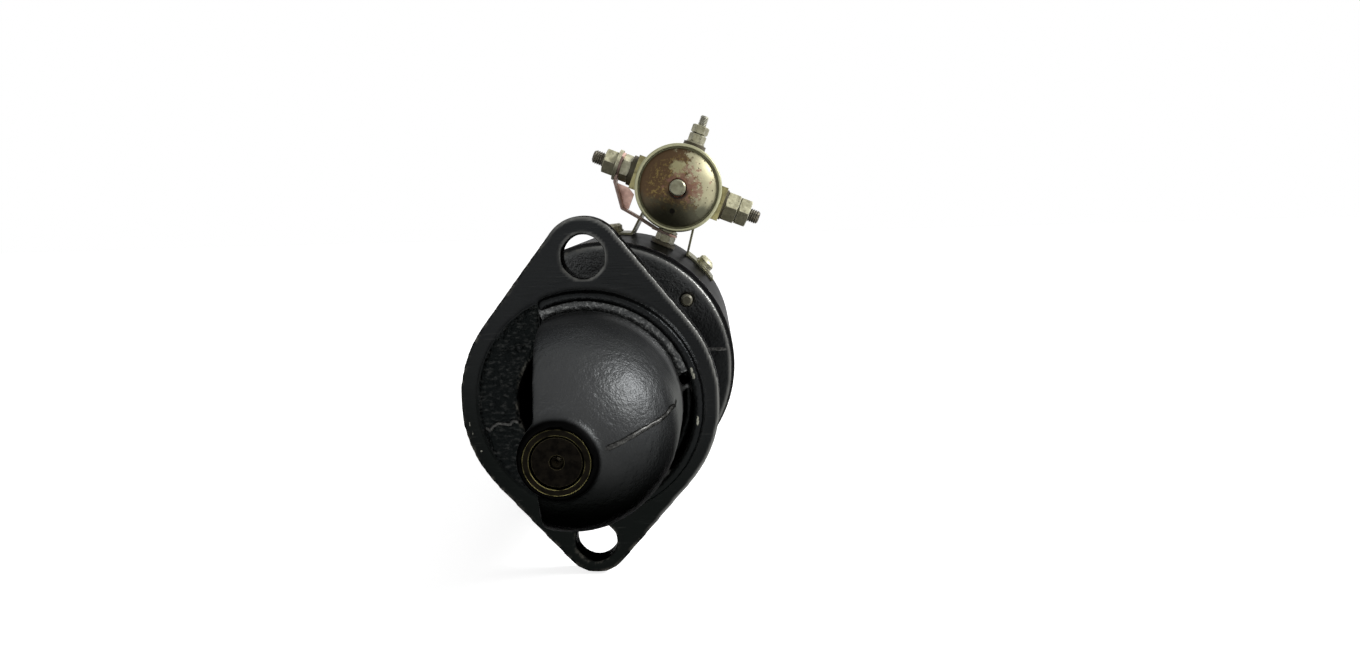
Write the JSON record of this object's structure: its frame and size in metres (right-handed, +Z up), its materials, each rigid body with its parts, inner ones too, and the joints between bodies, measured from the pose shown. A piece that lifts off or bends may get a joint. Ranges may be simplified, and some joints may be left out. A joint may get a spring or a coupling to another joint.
{
  "type": "starter motor",
  "caption": "Inertia-drive starter motor with an open-sided dome nose, a lozenge two-bolt flange, a round yoke and a magnetic switch carried on top.",
  "frame": {"origin": "on the shaft axis, in the front face of the mounting flange", "axes": "+X to the right seen from the nose, +Y along the shaft from the nose to the rear cover, +Z up along the line of the two bolt holes"},
  "size_m": [0.1493, 0.301, 0.2106],
  "materials": {
    "housing_paint": "satin black paint over rough casting",
    "yoke_paint": "satin black paint",
    "plain_steel": "oiled steel",
    "shaft_steel": "oiled dark steel",
    "zinc_steel": "zinc plated",
    "thread_steel": "blackened thread",
    "olive_zinc": "yellow-olive zinc",
    "cap_steel": "worn and rust-tinted plating",
    "button_steel": "worn zinc plate",
    "bronze": "sintered",
    "copper": "copper",
    "phenolic": "dark moulded insulation",
    "carbon": "pressed carbon",
    "rubber": "matt"
  },
  "bodies": {
    "motor": {"drive_housing": "housing_paint", "nose_bush": "bronze", "centre_plate": "plain_steel", "centre_bush": "bronze", "centre_plate_screws": "plain_steel", "yoke": "yoke_paint", "pole_shoes": "plain_steel", "pole_screws": "yoke_paint", "field_coils": "copper", "rear_cover": "yoke_paint", "rear_bush": "bronze", "cover_band": "yoke_paint", "band_screw": "zinc_steel", "through_bolts": "zinc_steel", "thrust_washers": "bronze", "brush_plate": "zinc_steel", "brush_plate_screws": "zinc_steel", "brush_holders": "zinc_steel", "brush_spring_1": "plain_steel", "brush_spring_2": "plain_steel", "brush_spring_3": "plain_steel", "brush_spring_4": "plain_steel", "motor_terminal": "copper", "terminal_insulator": "phenolic", "terminal_nuts": "zinc_steel", "field_lead": "copper", "switch_bracket": "olive_zinc", "bracket_screws": "zinc_steel", "switch_can": "olive_zinc", "switch_cap": "cap_steel", "stud_insulators": "phenolic", "battery_stud": "thread_steel", "motor_stud": "thread_steel", "stud_nuts": "zinc_steel", "coil_stud": "thread_steel", "coil_stud_nuts": "zinc_steel", "copper_strap": "copper", "switch_coil": "copper", "switch_core": "plain_steel", "return_spring": "plain_steel"},
    "armature": {"armature_shaft": "shaft_steel", "armature_core": "plain_steel", "armature_windings": "copper", "commutator_hub": "phenolic", "commutator": "copper", "drive_head": "plain_steel", "drive_pin": "plain_steel", "drive_cushion": "rubber", "screw_shaft": "plain_steel", "drive_washer": "plain_steel", "anti_drift_spring": "plain_steel"},
    "drive_slide": {"barrel_ring": "plain_steel"},
    "pinion_group": {"pinion": "plain_steel", "control_nut": "plain_steel"},
    "switch_plunger": {"plunger": "button_steel", "contact_disc": "copper"},
    "brush_body_1": {"brush_1": "carbon"},
    "brush_body_2": {"brush_2": "carbon"},
    "brush_body_3": {"brush_3": "carbon"},
    "brush_body_4": {"brush_4": "carbon"}
  },
  "joints": [
    {"name": "armature_spin", "type": "hinge", "parent": "motor", "child": "armature", "pos_m": [0, 0, 0], "axis": [0, -1, 0], "continuous": true},
    {"name": "pinion_travel", "type": "slide", "parent": "armature", "child": "drive_slide", "axis": [0, -1, 0], "range_m": [0, 0.022], "stiffness_N_per_m": 40, "springref_m": -0.012, "deforming": ["anti_drift_spring"]},
    {"name": "pinion_turn", "type": "hinge", "parent": "drive_slide", "child": "pinion_group", "pos_m": [0, 0, 0], "axis": [0, -1, 0], "range_deg": [0, 132.1]},
    {"name": "brush_1_lift", "type": "slide", "parent": "motor", "child": "brush_body_1", "axis": [1, 0, 0], "range_m": [0, 0.008], "stiffness_N_per_m": 800, "springref_m": -0.012, "deforming": ["brush_spring_1"]},
    {"name": "brush_2_lift", "type": "slide", "parent": "motor", "child": "brush_body_2", "axis": [0, 0, 1], "range_m": [0, 0.008], "stiffness_N_per_m": 800, "springref_m": -0.012, "deforming": ["brush_spring_2"]},
    {"name": "brush_3_lift", "type": "slide", "parent": "motor", "child": "brush_body_3", "axis": [-1, 0, 0], "range_m": [0, 0.008], "stiffness_N_per_m": 800, "springref_m": -0.012, "deforming": ["brush_spring_3"]},
    {"name": "brush_4_lift", "type": "slide", "parent": "motor", "child": "brush_body_4", "axis": [0, 0, -1], "range_m": [0, 0.008], "stiffness_N_per_m": 800, "springref_m": -0.012, "deforming": ["brush_spring_4"]},
    {"name": "button_push", "type": "slide", "parent": "motor", "child": "switch_plunger", "axis": [0, 1, 0], "range_m": [0, 0.003], "stiffness_N_per_m": 1500, "springref_m": -0.004, "deforming": ["return_spring"]}
  ],
  "couplings": [
    {"joint": "pinion_turn", "follows": "pinion_travel", "rad_per_m": 104.72}
  ]
}
